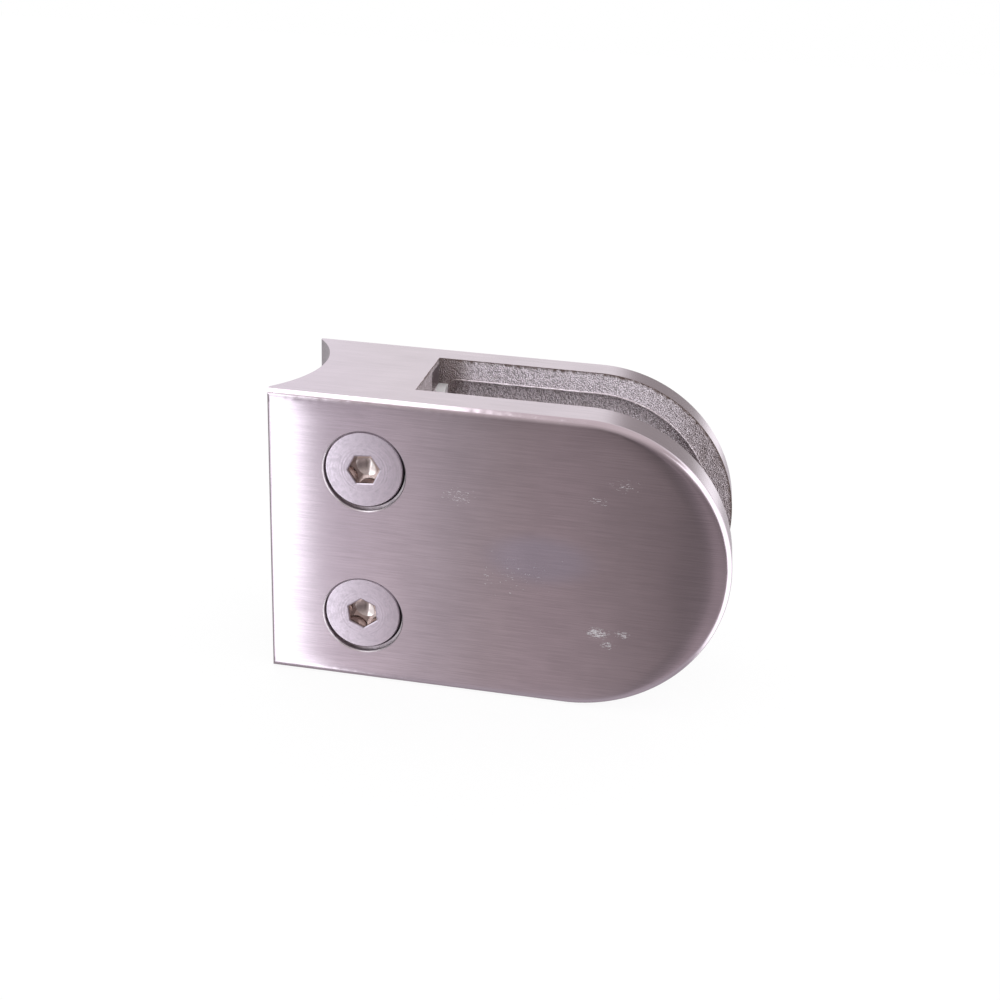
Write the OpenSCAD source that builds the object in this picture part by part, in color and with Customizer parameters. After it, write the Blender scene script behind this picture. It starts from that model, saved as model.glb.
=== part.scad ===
// Glass panel clamp for a round post: a cast body with a saddle and a back jaw,
// a screwed-on front jaw, and two countersunk socket screws.
// X runs from the post to the nose, Y from the screw face to the back, Z is up.
// The origin is at the middle of the footprint, on the surface the clamp stands on.

/* [Overall] */
// Height of the clamp, which is also the diameter of its round nose
height = 45; // [40:0.5:70]
// Distance from the deepest line of the saddle to the tip of the nose
reach = 63.4; // [56:0.1:90]
// Diameter of the round post that the saddle fits
post_d = 42.4; // [38:0.1:60.3]
// Width of the flat land at the tip of each saddle ear
ear_land = 1.5; // [0.8:0.1:3]
// Rounding of the long outer edges of both jaws
edge_r = 1.0; // [0.3:0.1:2]
// Rounding of the upright edges at the saddle ears
ear_r = 0.5; // [0.2:0.1:0.7]

/* [Jaws] */
// Thickness of the front jaw, the cover plate
cover_t = 6.3; // [5.8:0.1:8]
// Thickness of the back jaw
back_t = 5.5; // [3.5:0.1:8]
// Width of the slot between the jaws
slot_w = 16.6; // [16:0.1:24]
// Length of the block between the saddle and the end of the slot
block_len = 15.9; // [15:0.1:26]

/* [Pad seats] */
// Width of the raised rim round each pad seat
rim_w = 3.4; // [2:0.1:6]
// Depth of each pad seat below its rim
seat_depth = 1.2; // [0.5:0.1:2]
// Distance from the end of the slot to the start of each pad seat
seat_gap = 1.5; // [1:0.1:4]
// Rounding of the two square corners of each pad seat
seat_corner_r = 1.5; // [0.5:0.1:4]

/* [Pad stops] */
// Distance from each flat side of the clamp to the pad stop nearer to it
stop_inset = 4.1; // [2:0.1:6]
// Length of each pad stop along the post
stop_h = 6; // [3:0.1:8]
// Width that each pad stop stands out from the back jaw
stop_w = 3.7; // [1:0.1:5]
// Height of the lip left between each corner pocket and the clamp's flat side
pocket_lip = 0.9; // [0.5:0.1:1.5]
// Width of each corner pocket, measured from the back jaw
pocket_w = 5.1; // [3:0.1:8]
// Depth of each corner pocket into the block
pocket_depth = 1.5; // [0.5:0.1:3]

/* [Screws] */
// Outer diameter of the screw thread
thread_d = 6; // [5:0.5:6]
// Length of each screw, head included
screw_len = 20; // [17:0.5:21]
// Distance between the two screws
screw_spacing = 23.2; // [21:0.1:30]
// Distance from the end of the slot to the screw axes
screw_from_slot = 6.05; // [5:0.05:8]
// Diameter of the screw heads
head_d = 11.5; // [10:0.1:11.8]
// Height of the straight edge of each head
head_lip = 0.5; // [0.2:0.1:1]
// Bevel round the top edge of each head
head_bevel = 0.15; // [0.05:0.05:0.3]
// Depth of the head's top below the cover's face
head_sink = 0.6; // [0.2:0.1:1]
// Width across the flats of the hexagon socket
socket_af = 4; // [3:0.5:5]
// Depth of the hexagon socket
socket_depth = 2.6; // [1.5:0.1:2.8]
// Width of the bevel round the mouth of the socket
socket_bevel = 0.25; // [0.1:0.05:0.4]
// Turn of the upper screw's socket
upper_turn = 5; // [0:1:59]
// Turn of the lower screw's socket
lower_turn = 37; // [0:1:59]
// Bevel at the end of each screw
point_bevel = 0.8; // [0.3:0.1:1.2]

/* [Screw holes] */
// Diameter of the recess round each head
recess_d = 12.1; // [12:0.1:14]
// Bevel at the mouth of each recess
recess_bevel = 0.15; // [0.1:0.05:0.4]
// Diametral clearance of the screws in the cover
cover_play = 0.4; // [0.2:0.1:1]
// Radial running clearance of the screws in their tapped holes
thread_gap = 0.05; // [0.03:0.01:0.1]
// Gap between the head's cone and the cone it seats in
cone_gap = 0.05; // [0.03:0.01:0.1]
// Depth of the tapped holes beyond the ends of the screws
hole_spare = 2.5; // [1:0.1:3]

/* [Post bolt] */
// Diameter of the hole for the bolt that holds the clamp to the post
bolt_hole_d = 8.5; // [6.5:0.1:9]
// Diameter of the pocket for that bolt's head
bolt_pocket_d = 13.5; // [11:0.1:14]
// Depth of that pocket below the end of the slot
bolt_pocket_depth = 6; // [3:0.1:9]

/* [Hidden] */
$fn = 96;
steel = [0.66, 0.61, 0.63];
screw_steel = [0.71, 0.68, 0.72];
// How far a cutter runs past the surface that it opens
over = 1;
// The cone under each screw head leaves its edge at this angle to the axis
cone_angle = 45;
// Angle of the drill point at the bottom of the blind holes, to their axis
drill_angle = 59;
// The pilot drill of a hexagon socket is this much smaller in radius than its flats
drill_inset = 0.2;

thickness = cover_t + slot_w + back_t;
nose_r = height / 2;
saddle_r = post_d / 2;
saddle_half = thickness / 2 - ear_land;
saddle_depth = saddle_r - sqrt(saddle_r * saddle_r - saddle_half * saddle_half);
length = saddle_depth + reach;

// Stations along X and Y, in the clamp's own frame
tip_x = -length / 2;
nose_x = length / 2;
saddle_x = tip_x + saddle_depth;
slot_x = saddle_x + block_len;
nose_centre_x = nose_x - nose_r;
screw_x = slot_x - screw_from_slot;
front_y = -thickness / 2;
part_y = front_y + cover_t;
back_y = thickness / 2;
back_jaw_y = back_y - back_t;
post_axis_y = 0;
mid_z = height / 2;
upper_z = mid_z + screw_spacing / 2;
lower_z = mid_z - screw_spacing / 2;

head_r = head_d / 2;
thread_r = thread_d / 2;
cone_h = (head_r - thread_r) / tan(cone_angle);

// A rectangle whose two corners at u0 are rounded to r_low and the two at u1 to r_high
module rounded_box_2d(u0, v0, u1, v1, r_low, r_high) {
    difference() {
        translate([u0, v0]) square([u1 - u0, v1 - v0]);
        if (r_low > 0) {
            translate([u0, v1]) mirror([0, 1]) corner_cut_2d(r_low);
            translate([u0, v0]) corner_cut_2d(r_low);
        }
        if (r_high > 0) {
            translate([u1, v1]) rotate(180) corner_cut_2d(r_high);
            translate([u1, v0]) mirror([1, 0]) corner_cut_2d(r_high);
        }
    }
}

// The sliver that rounding a square corner at the origin takes away
module corner_cut_2d(r) {
    difference() {
        translate([-over, -over]) square(r + over);
        translate([r, r]) circle(r);
    }
}

// A round-nosed slab from y0 to y1: its section runs straight from the ears to the
// nose's centre and is then turned half a circle. Its edges are rounded to r0 and r1.
module nose_slab(y0, y1, r0, r1) {
    translate([tip_x, 0, 0])
        rotate([90, 0, 90])
            linear_extrude(nose_centre_x - tip_x)
                rounded_box_2d(y0, 0, y1, height, r0, r1);
    translate([nose_centre_x, 0, mid_z])
        rotate([-90, -90, 0])
            rotate_extrude(angle = 180)
                intersection() {
                    rotate(90) mirror([0, 1]) rounded_box_2d(y0, -nose_r, y1, nose_r, r0, r1);
                    translate([0, y0 - over]) square([nose_r + over, y1 - y0 + 2 * over]);
                }
}

// An upright prism that holds the clamp's plan from y0 to y1, its corners at the
// ears rounded to r0 and r1
module ear_prism(y0, y1, r0, r1) {
    translate([0, 0, -over])
        linear_extrude(height + 2 * over)
            difference() {
                translate([tip_x, y0]) square([length, y1 - y0]);
                if (r0 > 0) translate([tip_x, y0]) corner_cut_2d(r0);
                if (r1 > 0) translate([tip_x, y1]) mirror([0, 1]) corner_cut_2d(r1);
            }
}

// The post that the saddle is cut to
module saddle_cutter() {
    translate([saddle_x - saddle_r, post_axis_y, -over])
        cylinder(r = saddle_r, h = height + 2 * over);
}

// The outline of a pad seat: the jaw's own outline, one rim smaller
module pad_seat_2d() {
    seat_r = nose_r - rim_w;
    seat_x = slot_x + seat_gap;
    difference() {
        translate([seat_x, mid_z - seat_r]) square([nose_centre_x - seat_x, 2 * seat_r]);
        translate([seat_x, mid_z - seat_r]) corner_cut_2d(seat_corner_r);
        translate([seat_x, mid_z + seat_r]) mirror([0, 1]) corner_cut_2d(seat_corner_r);
    }
    intersection() {
        translate([nose_centre_x, mid_z]) circle(seat_r);
        translate([nose_centre_x, mid_z - nose_r]) square([nose_r, height]);
    }
}

// A pad seat cut into a jaw's face at y. side is 1 for the back jaw and -1 for the front.
module pad_seat_cutter(y, side) {
    translate([0, y + side * (seat_depth - over) / 2, 0])
        rotate([90, 0, 0])
            linear_extrude(seat_depth + over, center = true)
                pad_seat_2d();
}

// A hexagon socket whose flats are af apart, drilled to a point and bevelled at its
// mouth at z = 0
module hex_socket(af, depth, bevel) {
    corner_r = af / 2 / cos(30);
    drill_r = af / 2 - drill_inset;
    translate([0, 0, -depth]) cylinder(r = corner_r, h = depth + over, $fn = 6);
    translate([0, 0, -depth])
        rotate_extrude()
            polygon([[0, -drill_r / tan(drill_angle)], [drill_r, 0], [0, 0.5 * depth]]);
    intersection_for(turn = [30, 90, 150])
        rotate([90, 0, turn])
            linear_extrude(2 * af, center = true)
                polygon([
                    [-af / 2, -bevel],
                    [af / 2, -bevel],
                    [af / 2 + bevel + over, over],
                    [-af / 2 - bevel - over, over]
                ]);
}

// A countersunk screw, its head's top at the origin and its shank along -Z
module screw(turn) {
    shank_end = -screw_len;
    difference() {
        rotate_extrude()
            polygon([
                [0, 0],
                [head_r - head_bevel, 0],
                [head_r, -head_bevel],
                [head_r, -head_lip],
                [thread_r, -head_lip - cone_h],
                [thread_r, shank_end + point_bevel],
                [thread_r - point_bevel, shank_end],
                [0, shank_end]
            ]);
        rotate(turn) hex_socket(socket_af, socket_depth, socket_bevel);
    }
}

// The stepped hole in the cover for one screw, its mouth at the origin, running along -Z
module cover_hole() {
    recess_r = recess_d / 2;
    hole_r = (thread_d + cover_play) / 2;
    shoulder_z = -head_sink - head_lip;
    cone_r = head_r + cone_gap;
    rotate_extrude()
        polygon([
            [0, over],
            [recess_r + recess_bevel + over, over],
            [recess_r, -recess_bevel],
            [recess_r, shoulder_z],
            [cone_r, shoulder_z],
            [hole_r, shoulder_z - (cone_r - hole_r) / tan(cone_angle)],
            [hole_r, -cover_t - over],
            [0, -cover_t - over]
        ]);
}

// The tapped hole in the body for one screw, from the body's front face along -Z
module tapped_hole() {
    hole_r = thread_r + thread_gap;
    depth = head_sink + screw_len - cover_t + hole_spare;
    translate([0, 0, -depth]) cylinder(r = hole_r, h = depth + over);
    translate([0, 0, -depth - hole_r / tan(drill_angle)])
        cylinder(r1 = 0, r2 = hole_r, h = hole_r / tan(drill_angle));
}

// Turns a child that runs along -Z so that it runs into the clamp along +Y from y
module at_screw(y, z) {
    translate([screw_x, y, z]) rotate([90, 0, 0]) children();
}

// The bolt hole from the saddle to the slot, with the pocket for the bolt's head
module post_bolt_cutter() {
    translate([tip_x, post_axis_y, mid_z])
        rotate([0, 90, 0])
            cylinder(d = bolt_hole_d, h = length / 2 + nose_r);
    translate([slot_x - bolt_pocket_depth, post_axis_y, mid_z])
        rotate([0, 90, 0])
            cylinder(d = bolt_pocket_d, h = bolt_pocket_depth + seat_gap + over);
}

// The slot between the jaws, less the pad stops in its inner corner
module slot_cutter() {
    difference() {
        translate([slot_x, part_y - over, -over])
            cube([length, slot_w + over, height + 2 * over]);
        at_both_sides() pad_stop();
    }
}

// The child as it is near the clamp's lower side, and mirrored near its upper side
module at_both_sides() {
    children();
    translate([0, 0, height]) mirror([0, 0, 1]) children();
}

// The block that stops the back pad short of the end of the slot
module pad_stop() {
    translate([slot_x - over, back_jaw_y - stop_w, stop_inset])
        cube([seat_gap + over, stop_w + over, stop_h]);
}

// The pocket in the end of the slot, between a pad stop and the clamp's side
module corner_pocket() {
    translate([slot_x - pocket_depth, back_jaw_y - pocket_w, pocket_lip])
        cube([pocket_depth + over, pocket_w, stop_inset - pocket_lip]);
}

// The cast body: block, saddle and back jaw in one piece
module clamp_body() {
    color(steel)
        difference() {
            intersection() {
                nose_slab(part_y, back_y, 0, edge_r);
                ear_prism(part_y, back_y, 0, ear_r);
            }
            slot_cutter();
            saddle_cutter();
            pad_seat_cutter(back_jaw_y, 1);
            at_both_sides() corner_pocket();
            post_bolt_cutter();
            for (z = [lower_z, upper_z]) at_screw(part_y, z) tapped_hole();
        }
}

// The front jaw, screwed to the body
module cover_plate() {
    color(steel)
        difference() {
            intersection() {
                nose_slab(front_y, part_y, edge_r, 0);
                ear_prism(front_y, part_y, ear_r, 0);
            }
            saddle_cutter();
            pad_seat_cutter(part_y, -1);
            for (z = [lower_z, upper_z]) at_screw(front_y, z) cover_hole();
        }
}

// The screw nearer the top
module upper_screw() {
    color(screw_steel) at_screw(front_y + head_sink, upper_z) screw(upper_turn);
}

// The screw nearer the bottom
module lower_screw() {
    color(screw_steel) at_screw(front_y + head_sink, lower_z) screw(lower_turn);
}

clamp_body();
cover_plate();
upper_screw();
lower_screw();
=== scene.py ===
"""Glass panel clamp for a round post: the dressed pieces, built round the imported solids.

+X runs from the post to the round nose, +Y from the screw face to the back jaw and +Z
up along the post. Meshes are worked in millimetres and handed over in metres.
"""

import logging
import math
from dataclasses import dataclass, field
from enum import Enum
from typing import Iterable, Sequence

import bmesh
import bpy
from mathutils import Matrix, Vector, noise


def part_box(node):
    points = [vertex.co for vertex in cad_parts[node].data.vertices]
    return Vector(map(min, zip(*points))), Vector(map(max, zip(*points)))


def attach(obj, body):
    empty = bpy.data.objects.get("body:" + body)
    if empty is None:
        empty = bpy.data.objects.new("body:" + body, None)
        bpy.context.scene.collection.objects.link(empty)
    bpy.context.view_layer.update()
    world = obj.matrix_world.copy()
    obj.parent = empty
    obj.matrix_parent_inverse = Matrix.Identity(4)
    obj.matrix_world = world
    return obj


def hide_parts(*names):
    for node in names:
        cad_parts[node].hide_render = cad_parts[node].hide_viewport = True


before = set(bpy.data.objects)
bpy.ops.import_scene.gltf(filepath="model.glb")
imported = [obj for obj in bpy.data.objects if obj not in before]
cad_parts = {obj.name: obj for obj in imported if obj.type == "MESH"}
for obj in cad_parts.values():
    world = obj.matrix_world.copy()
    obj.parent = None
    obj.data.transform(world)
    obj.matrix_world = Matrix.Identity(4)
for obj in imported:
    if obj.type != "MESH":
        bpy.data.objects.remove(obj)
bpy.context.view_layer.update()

log = logging.getLogger("glass_panel_clamp")

MM = 0.001
BRUSH_MAP = "brush_run"
# Vertex attribute holding the painted shade of the cast skin, from 0 to 1.
PAINTED_CAST_SHADE = "painted_cast_shade"
VECTORS = ("Vector", "Centre")
FULL_TURN = 2 * math.pi
FINE_RELIEF = 0.0001
# Angle in radians from which two faces meet at an edge
SHARP = 1.0
# How straight a normal must be to lie along an axis, and to belong to a side
FLAT = 0.99
FACING = 0.97
# How much of a normal along a direction is next to nothing, and how much is something
TURNED_OFF = 0.1
SLANTED = 0.3
# How far apart places may be that count as one, on worked solids and on new ones
NEAR = 0.02
ON = 0.001
# How close vertices are merged, and how close to a cut they are taken as lying on it
WELD = 0.0005
CUT = 0.0001
GRID_CUT = 0.0002

Colour = tuple[float, float, float]
Point = tuple[float, float, float]
Pair = tuple[float, float]
Limit = tuple[Point, float, float]
BMesh = bmesh.types.BMesh
Face = bmesh.types.BMFace
Body = bpy.types.Object
Material = bpy.types.Material
Node = bpy.types.Node
Socket = bpy.types.NodeSocket
NodeTree = bpy.types.NodeTree


class Zone(Enum):
    """The surfaces of the clamp that are finished differently; the value is the slot's place."""

    FACE = 0
    RIM = 1
    CAST = 2
    SADDLE = 3
    MILLED = 4
    # White and not metallic: a painted highlight on the pad stops.
    PAINTED_HIGHLIGHT = 5
    # The seat's lip: a lighter copy of the cast finish, a painted highlight line.
    LIP = 6


ROUGH = (Zone.CAST.value, Zone.LIP.value)


class ScrewZone(Enum):
    """The surfaces of a screw that are finished differently."""

    HEAD = 0
    SHANK = 1
    SOCKET = 2


class Side(Enum):
    """Which jaw a slab belongs to: the sign of Y on its outer side."""

    FRONT = -1
    BACK = 1


# --------------------------------------------------------------------------- outline


@dataclass(frozen=True)
class Outline:
    """The clamp's round-nosed outline and its main stations, in millimetres."""

    tip_x: float
    nose_x: float
    height: float
    front_y: float
    part_y: float
    back_y: float
    screw_x: float
    screw_z: Pair

    @classmethod
    def measured(cls) -> "Outline":
        """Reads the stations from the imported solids.

        Returns:
            The outline in millimetres.
        """
        body_low, body_high = (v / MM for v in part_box("clamp_body"))
        cover_low, cover_high = (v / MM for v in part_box("cover_plate"))
        screws = (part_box(node) for node in ("lower_screw", "upper_screw"))
        centres = [(low / MM + high / MM) / 2 for low, high in screws]
        return cls(
            tip_x=body_low.x,
            nose_x=body_high.x,
            height=body_high.z,
            front_y=cover_low.y,
            part_y=cover_high.y,
            back_y=body_high.y,
            screw_x=centres[0].x,
            screw_z=(centres[0].z, centres[1].z),
        )

    @property
    def nose_r(self) -> float:
        """Radius of the round nose."""
        return self.height / 2

    @property
    def nose_centre_x(self) -> float:
        """Where the nose's half circle begins."""
        return self.nose_x - self.nose_r

    @property
    def mid_z(self) -> float:
        """Half the height."""
        return self.height / 2

    def outward(self, point: Vector) -> Vector:
        """Unit vector from the clamp's middle line to the outline through a point.

        Args:
            point: Any point on the clamp.

        Returns:
            The direction, in the plane of the jaws.
        """
        along = max(point.x - self.nose_centre_x, 0.0)
        away = Vector((along, 0.0, point.z - self.mid_z))
        return away.normalized() if away.length > NEAR else Vector((1.0, 0.0, 0.0))

    def inset(self, point: Vector) -> float:
        """How far a point lies inside the outline.

        Args:
            point: Any point on the clamp.

        Returns:
            The distance to the outline in millimetres.
        """
        along = max(point.x - self.nose_centre_x, 0.0)
        return self.nose_r - math.hypot(along, point.z - self.mid_z)

    def run(self, point: Vector) -> float:
        """Length along the outline from the upper ear, round the nose, to a point.

        Args:
            point: Any point on the clamp.

        Returns:
            The length in millimetres.
        """
        straight = min(point.x, self.nose_centre_x) - self.tip_x
        if point.x <= self.nose_centre_x:
            whole = 2 * (self.nose_centre_x - self.tip_x) + math.pi * self.nose_r
            return straight if point.z >= self.mid_z else whole - straight
        turned = math.atan2(point.x - self.nose_centre_x, point.z - self.mid_z)
        return straight + turned * self.nose_r

    def from_screw(self, point: Vector) -> float:
        """Distance from a point to the nearer screw's axis."""
        return min(math.hypot(point.x - self.screw_x, point.z - z) for z in self.screw_z)


# --------------------------------------------------------------------- solid tooling


def placed(name: str, data: BMesh | bpy.types.Camera) -> Body:
    """Makes an object and links it to the scene.

    Args:
        name: The object's name.
        data: Its camera, or its mesh as a bmesh, which is freed.

    Returns:
        The object.
    """
    if isinstance(data, BMesh):
        mesh = bpy.data.meshes.new(name)
        data.to_mesh(mesh)
        data.free()
        data = mesh
    made = bpy.data.objects.new(name, data)
    bpy.context.scene.collection.objects.link(made)
    return made


def solid(name: str, bm: BMesh) -> Body:
    """Turns a closed bmesh into an object that other solids can cut."""
    bmesh.ops.recalc_face_normals(bm, faces=bm.faces)
    return placed(name, bm)


def in_order(mesh: bpy.types.Mesh) -> bpy.types.Mesh:
    """Copies a mesh, its elements ordered by place: a Boolean's own order is never the same.

    Args:
        mesh: The mesh that a Boolean gave.

    Returns:
        The new mesh.
    """
    ordered = sorted(mesh.vertices, key=lambda vert: tuple(vert.co))
    rank = {vert.index: place for place, vert in enumerate(ordered)}
    rings = []
    for face in mesh.polygons:
        ring = [rank[index] for index in face.vertices]
        first = ring.index(min(ring))
        rings.append(ring[first:] + ring[:first])
    made = bpy.data.meshes.new("in_order")
    made.from_pydata([vert.co for vert in ordered], [], sorted(rings))
    return made


def worked(blank: Body, steps: Sequence[tuple[str, Body]]) -> BMesh:
    """Cuts and joins solids in order and gives the result back as a bmesh.

    Args:
        blank: The solid to start from; it is used up.
        steps: Pairs of a Boolean operation and the tool it works with.

    Returns:
        The worked mesh, its doubles merged.
    """
    for operation, tool in steps:
        step = blank.modifiers.new(operation.lower(), "BOOLEAN")
        step.operation = operation
        step.solver = "EXACT"
        step.object = tool
        bpy.context.view_layer.update()
        graph = bpy.context.evaluated_depsgraph_get()
        cut = in_order(blank.evaluated_get(graph).data)
        blank.modifiers.clear()
        blank.data = cut
    bm = bmesh.new()
    bm.from_mesh(blank.data)
    for used in [blank, *(tool for _, tool in steps)]:
        bpy.data.objects.remove(used)
    bmesh.ops.remove_doubles(bm, verts=bm.verts, dist=WELD)
    bm.normal_update()
    return bm


def lies_at(item, **levels: float) -> bool:
    """Tells whether every vertex of an edge or face lies on the planes given as axis=level."""
    places = [("xyz".index(axis), level) for axis, level in levels.items()]
    return all(abs(v.co[axis] - level) < ON for v in item.verts for axis, level in places)


def edges_at(bm: BMesh, **levels: float) -> list:
    """The edges that lie on the planes given as axis=level."""
    return [edge for edge in bm.edges if lies_at(edge, **levels)]


def everything(bm: BMesh) -> list:
    """All vertices, edges and faces of a mesh."""
    return bm.verts[:] + bm.edges[:] + bm.faces[:]


def parts_of(faces: Sequence[Face]) -> list:
    """Some faces with their vertices and edges, each once and in a steady order."""
    edges = dict.fromkeys(edge for face in faces for edge in face.edges)
    verts = dict.fromkeys(vert for face in faces for vert in face.verts)
    return [*verts, *edges, *faces]


def of_kind(result: dict, kind: type) -> list:
    """What an operator made of one kind."""
    return [item for item in result["geom"] if isinstance(item, kind)]


def rounded(bm: BMesh, edges: list, offset: float, segments: int) -> dict:
    """Rounds edges, or bevels them, and gives back what the operator made."""
    return bmesh.ops.bevel(
        bm, geom=edges, offset=offset, offset_type="OFFSET", segments=segments, profile=0.5,
        affect="EDGES", clamp_overlap=False, material=-1,
    )


def clamped(value: float) -> float:
    """A value kept between 0 and 1."""
    return max(0.0, min(1.0, value))


def lumps(at: Vector, layers: Sequence[Pair]) -> float:
    """Noise at a place, summed over layers given as (strength, fineness)."""
    return sum(strength * noise.noise(at * fineness) for strength, fineness in layers)


def bar(start: Point, end: Point, radius: float, steps: int = 96) -> BMesh:
    """A round bar between two points.

    Args:
        start: Middle of one end.
        end: Middle of the other end.
        radius: Radius of the bar.
        steps: Number of sides.

    Returns:
        The closed mesh.
    """
    bm = bmesh.new()
    reach = Vector(end) - Vector(start)
    turn = reach.to_track_quat("Z", "Y").to_matrix().to_4x4()
    place = Matrix.Translation((Vector(start) + Vector(end)) / 2) @ turn
    bmesh.ops.create_cone(
        bm, cap_ends=True, segments=steps, radius1=radius, radius2=radius,
        depth=reach.length, matrix=place,
    )
    return bm


def block(low: Point, high: Point) -> BMesh:
    """A square block between two corners.

    Args:
        low: The lowest corner.
        high: The highest corner.

    Returns:
        The closed mesh.
    """
    bm = bmesh.new()
    size = Vector(high) - Vector(low)
    place = Matrix.Translation((Vector(low) + Vector(high)) / 2) @ Matrix.Diagonal((*size, 1))
    bmesh.ops.create_cube(bm, size=1.0, matrix=place)
    return bm


def chain(bm: BMesh, profile: Iterable[Pair]) -> list:
    """An open line through (radius, height) points: its new vertices and edges."""
    verts = [bm.verts.new((radius, 0.0, level)) for radius, level in profile]
    return verts + [bm.edges.new(pair) for pair in zip(verts, verts[1:])]


def turned(profile: Sequence[Pair], steps: int = 96) -> BMesh:
    """A turned solid about Z.

    Args:
        profile: (radius, height) points from the axis round to the axis again.
        steps: Number of steps in the full turn.

    Returns:
        The closed mesh.
    """
    bm = bmesh.new()
    bmesh.ops.spin(
        bm, geom=chain(bm, profile), cent=(0, 0, 0), axis=(0, 0, 1), dvec=(0, 0, 0),
        angle=FULL_TURN, steps=steps, use_merge=True, use_duplicate=False,
    )
    bmesh.ops.remove_doubles(bm, verts=bm.verts, dist=CUT)
    return bm


def thread(crest: float, root: float, pitch: float, top: float, end: float) -> BMesh:
    """A helical thread about Z, closed at both ends.

    Args:
        crest: Radius over the crests.
        root: Radius in the roots.
        pitch: Length of one turn.
        top: Height of the upper end.
        end: Height of the lower end.

    Returns:
        The closed mesh; its ends are rough and meant to be cut off square.
    """
    per_turn = 40
    turns = math.ceil((top - end) / pitch) + 2
    bm = bmesh.new()
    profile = [
        (root, top + pitch), (crest, top + 0.62 * pitch), (crest, top + 0.5 * pitch),
        (root, top + 0.12 * pitch), (root, top),
    ]
    bmesh.ops.spin(
        bm, geom=chain(bm, profile), cent=(0, 0, 0), axis=(0, 0, 1),
        dvec=(0, 0, -pitch / per_turn), angle=turns * FULL_TURN,
        steps=turns * per_turn, use_merge=False, use_duplicate=False,
    )
    bmesh.ops.remove_doubles(bm, verts=bm.verts, dist=WELD)
    open_edges = [edge for edge in bm.edges if edge.is_boundary]
    caps = bmesh.ops.holes_fill(bm, edges=open_edges, sides=0)["faces"]
    bmesh.ops.poke(bm, faces=caps)
    return bm


def moved(bm: BMesh, place: Matrix) -> BMesh:
    """Moves a whole mesh and gives it back."""
    bmesh.ops.transform(bm, matrix=place, verts=bm.verts)
    return bm


def into_clamp(x: float, y: float, z: float, turn: float = 0.0) -> Matrix:
    """Place for a part made along -Z that goes into the clamp along +Y.

    Args:
        x: Its place along the clamp.
        y: Where its top lies.
        z: Its height.
        turn: Its turn about its own axis, in degrees.

    Returns:
        The matrix.
    """
    spin = Matrix.Rotation(math.radians(turn), 4, "Z")
    return Matrix.Translation((x, y, z)) @ Matrix.Rotation(math.radians(90), 4, "X") @ spin


def finished(name: str, bm: BMesh, finishes: Sequence[Material], crease: float) -> Body:
    """Hands a mesh over as a piece in metres, smooth but for its sharp edges.

    Args:
        name: The piece's name.
        bm: The mesh in millimetres, its faces' material places set; it is freed.
        finishes: The materials in the order of those places.
        crease: Angle in degrees from which an edge stays sharp.

    Returns:
        The piece.
    """
    bmesh.ops.scale(bm, vec=(MM, MM, MM), verts=bm.verts)
    made = placed(name, bm)
    for finish in finishes:
        made.data.materials.append(finish)
    made.data.shade_smooth()
    made.data.set_sharp_from_angle(angle=math.radians(crease))
    weigh = made.modifiers.new("flat_faces_stay_flat", "WEIGHTED_NORMAL")
    weigh.mode = "FACE_AREA"
    weigh.weight = 100
    weigh.keep_sharp = True
    return made


# -------------------------------------------------------------------- shader tooling


class Tree:
    """A short way to add and join nodes in one node tree."""

    def __init__(self, tree: NodeTree) -> None:
        """Starts on an existing tree."""
        self.tree = tree

    def add(self, kind: str, values: dict | None = None, **settings) -> Node:
        """Adds a node, sets its properties and fills its inputs.

        Args:
            kind: The node's type name.
            values: Input name or place to a constant or to an output socket.
            **settings: Properties of the node.

        Returns:
            The node.
        """
        node = self.tree.nodes.new(kind)
        for key, value in settings.items():
            setattr(node, key, value)
        for key, value in (values or {}).items():
            self.feed(node, key, value)
        return node

    def feed(self, node: Node, key: str | int, value) -> None:
        """Gives an input of a node a constant, or joins an output socket to it.

        Args:
            node: The node.
            key: The input's name or place.
            value: The constant or the socket.
        """
        if isinstance(value, Socket):
            self.tree.links.new(value, node.inputs[key])
        else:
            node.inputs[key].default_value = value

    def math(self, operation: str, *values) -> Socket:
        """The result of a Math node on some values."""
        node = self.add("ShaderNodeMath", dict(enumerate(values)), operation=operation)
        return node.outputs[0]

    def vector(self, operation: str, *values) -> Node:
        """A Vector Math node on some values."""
        return self.add("ShaderNodeVectorMath", dict(enumerate(values)), operation=operation)

    def noise(self, values: dict, **settings) -> Socket:
        """The height of a Noise Texture node."""
        return self.add("ShaderNodeTexNoise", values, **settings).outputs[0]

    def place(self) -> Socket:
        """The place on the piece, in metres."""
        return self.add("ShaderNodeTexCoord").outputs["Object"]

    def use(self, group: NodeTree, **inputs) -> bpy.types.NodeOutputs:
        """Places a shared effect with its own inputs and gives its outputs."""
        return self.add("ShaderNodeGroup", inputs, node_tree=group).outputs

    def step(self, value, low: float, high: float, out_low=0.0, out_high=1.0):
        """A smooth step of a value.

        Args:
            value: The value's socket.
            low: Where the step starts.
            high: Where it ends.
            out_low: The result below the step.
            out_high: The result above it.

        Returns:
            The output socket.
        """
        inputs = {0: value, 1: low, 2: high, 3: out_low, 4: out_high}
        node = self.add("ShaderNodeMapRange", inputs, interpolation_type="SMOOTHSTEP")
        return node.outputs[0]

    def blend(self, share, first, second) -> Socket:
        """A mix of two colours.

        Args:
            share: How much of the second colour shows.
            first: A colour or its socket.
            second: A colour or its socket.

        Returns:
            The output socket.
        """
        node = self.add("ShaderNodeMix", {0: share}, data_type="RGBA")
        for place, colour in ((6, first), (7, second)):
            plain = isinstance(colour, tuple)
            self.feed(node, place, (*colour, 1.0) if plain else colour)
        return node.outputs[2]


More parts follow.
